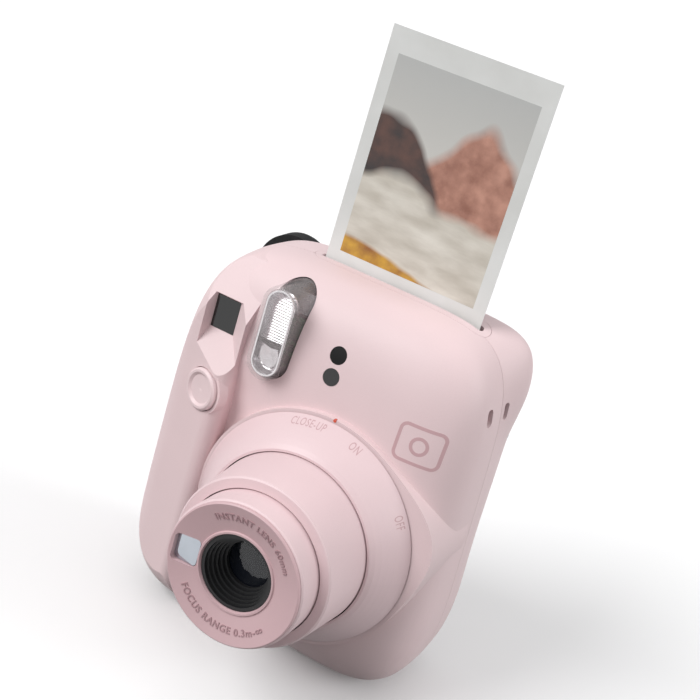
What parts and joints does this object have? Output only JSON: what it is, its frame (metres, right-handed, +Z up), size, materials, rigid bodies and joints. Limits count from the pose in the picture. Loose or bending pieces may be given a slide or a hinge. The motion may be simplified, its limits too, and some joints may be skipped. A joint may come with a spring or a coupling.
{
  "type": "instant camera",
  "caption": "Rounded instant film camera with a turning lens ring, an extending lens, a flash tower, a hinged film door and a print leaving the top slot",
  "frame": {"origin": "Centre of the flat base, on the plane where the front and rear shells meet", "axes": "+Z up, the lens looks along -Y, +X towards the side away from the grip"},
  "size_m": [0.1037, 0.0926, 0.1948],
  "materials": {
    "front_shell": "fine satin moulded plastic",
    "rear_shell": "fine satin moulded plastic",
    "film_exit_lip": "fine satin moulded plastic",
    "screws": "plain steel",
    "strap_anchor": "fine satin moulded plastic",
    "lens_guide": "fine satin moulded plastic",
    "lens_ring": "fine satin moulded plastic",
    "outer_barrel": "fine satin moulded plastic",
    "inner_barrel": "fine satin moulded plastic",
    "front_bezel": "fine satin moulded plastic",
    "selfie_mirror": "silvered",
    "lens_baffle": "fine satin moulded plastic",
    "lens_front_element": "clear",
    "lens_rear_element": "clear",
    "shutter_plate": "fine satin moulded plastic",
    "shutter_blade": "plain steel",
    "index_dot": "smooth gloss",
    "flash_window": "clear",
    "flash_reflector": "bright metallised",
    "flash_tube": "clear",
    "finder_window": "smooth gloss",
    "finder_tunnel": "fine satin moulded plastic",
    "eyepiece_ring": "matt rubber",
    "eyepiece_lens": "clear",
    "sensor_windows": "smooth gloss",
    "shutter_button": "fine satin moulded plastic",
    "shutter_spring": "matt rubber",
    "shutter_switch": "smooth gloss",
    "front_roller": "matt rubber",
    "rear_roller": "matt rubber",
    "idler_gear": "smooth gloss",
    "motor_pinion": "turned brass",
    "drive_motor": "plain steel",
    "motor_clamp": "fine satin moulded plastic",
    "roller_frame": "plain steel",
    "instant_print": "coated card",
    "film_pack": "fine satin moulded plastic",
    "film_sheets": "coated card",
    "exposure_chamber": "fine satin moulded plastic",
    "circuit_board": "smooth gloss",
    "flash_capacitor": "smooth gloss",
    "film_door": "fine satin moulded plastic",
    "door_pin": "plain steel",
    "door_latch": "fine satin moulded plastic",
    "pack_window": "clear",
    "counter_window": "clear",
    "counter_dial": "smooth gloss",
    "pressure_springs": "plain steel",
    "batteries": "printed sleeve",
    "battery_cradle": "fine satin moulded plastic",
    "battery_contacts": "plain steel",
    "battery_cover": "fine satin moulded plastic",
    "battery_cover_pin": "plain steel"
  },
  "bodies": {
    "body": {"front_shell": "front_shell", "rear_shell": "rear_shell", "film_exit_lip": "film_exit_lip", "screws": "screws", "strap_anchor": "strap_anchor", "lens_guide": "lens_guide", "index_dot": "index_dot", "flash_window": "flash_window", "flash_reflector": "flash_reflector", "flash_tube": "flash_tube", "finder_window": "finder_window", "finder_tunnel": "finder_tunnel", "eyepiece_ring": "eyepiece_ring", "eyepiece_lens": "eyepiece_lens", "sensor_windows": "sensor_windows", "shutter_spring": "shutter_spring", "shutter_switch": "shutter_switch", "drive_motor": "drive_motor", "motor_clamp": "motor_clamp", "roller_frame": "roller_frame", "film_pack": "film_pack", "film_sheets": "film_sheets", "exposure_chamber": "exposure_chamber", "circuit_board": "circuit_board", "flash_capacitor": "flash_capacitor", "door_pin": "door_pin", "batteries": "batteries", "battery_cradle": "battery_cradle", "battery_contacts": "battery_contacts", "battery_cover_pin": "battery_cover_pin"},
    "lens_ring_body": {"lens_ring": "lens_ring"},
    "outer_barrel_body": {"outer_barrel": "outer_barrel"},
    "inner_barrel_body": {"inner_barrel": "inner_barrel", "front_bezel": "front_bezel", "selfie_mirror": "selfie_mirror", "lens_baffle": "lens_baffle", "lens_front_element": "lens_front_element", "lens_rear_element": "lens_rear_element", "shutter_plate": "shutter_plate"},
    "shutter_blade_body": {"shutter_blade": "shutter_blade"},
    "button_body": {"shutter_button": "shutter_button"},
    "front_roller_body": {"front_roller": "front_roller"},
    "rear_roller_body": {"rear_roller": "rear_roller"},
    "idler_body": {"idler_gear": "idler_gear"},
    "pinion_body": {"motor_pinion": "motor_pinion"},
    "print_body": {"instant_print": "instant_print"},
    "film_door_body": {"film_door": "film_door", "pack_window": "pack_window", "counter_window": "counter_window", "pressure_springs": "pressure_springs"},
    "counter_body": {"counter_dial": "counter_dial"},
    "latch_body": {"door_latch": "door_latch"},
    "battery_cover_body": {"battery_cover": "battery_cover"}
  },
  "joints": [
    {"name": "lens_ring_turn", "type": "hinge", "parent": "body", "child": "lens_ring_body", "pos_m": [0.0085, -0.033, 0.05], "axis": [0, -1, 0], "range_deg": [-12.5, 56]},
    {"name": "outer_barrel_slide", "type": "slide", "parent": "body", "child": "outer_barrel_body", "axis": [0, 1, 0], "range_m": [-0.0036, 0.0155]},
    {"name": "inner_barrel_slide", "type": "slide", "parent": "outer_barrel_body", "child": "inner_barrel_body", "axis": [0, 1, 0], "range_m": [-0.0024, 0.0102]},
    {"name": "shutter_blade_swing", "type": "hinge", "parent": "inner_barrel_body", "child": "shutter_blade_body", "pos_m": [0.0215, -0.055, 0.05], "axis": [0, 1, 0], "range_deg": [0, 52], "stiffness_Nm_per_rad": 0.0002, "springref_deg": -5.73},
    {"name": "shutter_button_press", "type": "slide", "parent": "body", "child": "button_body", "axis": [0.342, 0.9397, 0], "range_m": [0, 0.0012], "stiffness_N_per_m": 400, "springref_m": -0.0004},
    {"name": "roller_drive", "type": "hinge", "parent": "body", "child": "front_roller_body", "pos_m": [0.005, -0.00125, 0.1093], "axis": [1, 0, 0], "range_deg": [-1661.6, 206.3]},
    {"name": "rear_roller_turn", "type": "hinge", "parent": "body", "child": "rear_roller_body", "pos_m": [0.005, 0.00585, 0.1093], "axis": [1, 0, 0], "range_deg": [-260, 1700]},
    {"name": "idler_gear_turn", "type": "hinge", "parent": "body", "child": "idler_body", "pos_m": [0.03845, -0.00784, 0.09999], "axis": [1, 0, 0], "range_deg": [-150, 800]},
    {"name": "motor_turn", "type": "hinge", "parent": "body", "child": "pinion_body", "pos_m": [0.03845, -0.01385, 0.0915], "axis": [1, 0, 0], "range_deg": [-2400, 320]},
    {"name": "print_feed", "type": "slide", "parent": "body", "child": "print_body", "axis": [0, 0, 1], "range_m": [-0.0956, 0.0118]},
    {"name": "film_door_swing", "type": "hinge", "parent": "body", "child": "film_door_body", "pos_m": [-0.0335, 0.0219, 0.05], "axis": [0, 0, 1], "range_deg": [0, 95]},
    {"name": "counter_dial_turn", "type": "hinge", "parent": "film_door_body", "child": "counter_body", "pos_m": [0.033, 0.021, 0.024], "axis": [0, 1, 0], "range_deg": [0, 330]},
    {"name": "door_latch_slide", "type": "slide", "parent": "body", "child": "latch_body", "axis": [0, 0, -1], "range_m": [0, 0.005], "stiffness_N_per_m": 100, "springref_m": -0.001},
    {"name": "battery_cover_swing", "type": "hinge", "parent": "body", "child": "battery_cover_body", "pos_m": [-0.0493, 0.017, 0.038], "axis": [0, 0, -1], "range_deg": [0, 95]}
  ],
  "couplings": [
    {"joint": "outer_barrel_slide", "follows": "lens_ring_turn", "m_per_rad": 0.015552},
    {"joint": "inner_barrel_slide", "follows": "lens_ring_turn", "m_per_rad": 0.010231},
    {"joint": "roller_drive", "follows": "print_feed", "rad_per_m": 303.03},
    {"joint": "rear_roller_turn", "follows": "print_feed", "rad_per_m": -303.03},
    {"joint": "idler_gear_turn", "follows": "print_feed", "rad_per_m": -136.85},
    {"joint": "motor_turn", "follows": "print_feed", "rad_per_m": 424.24}
  ]
}
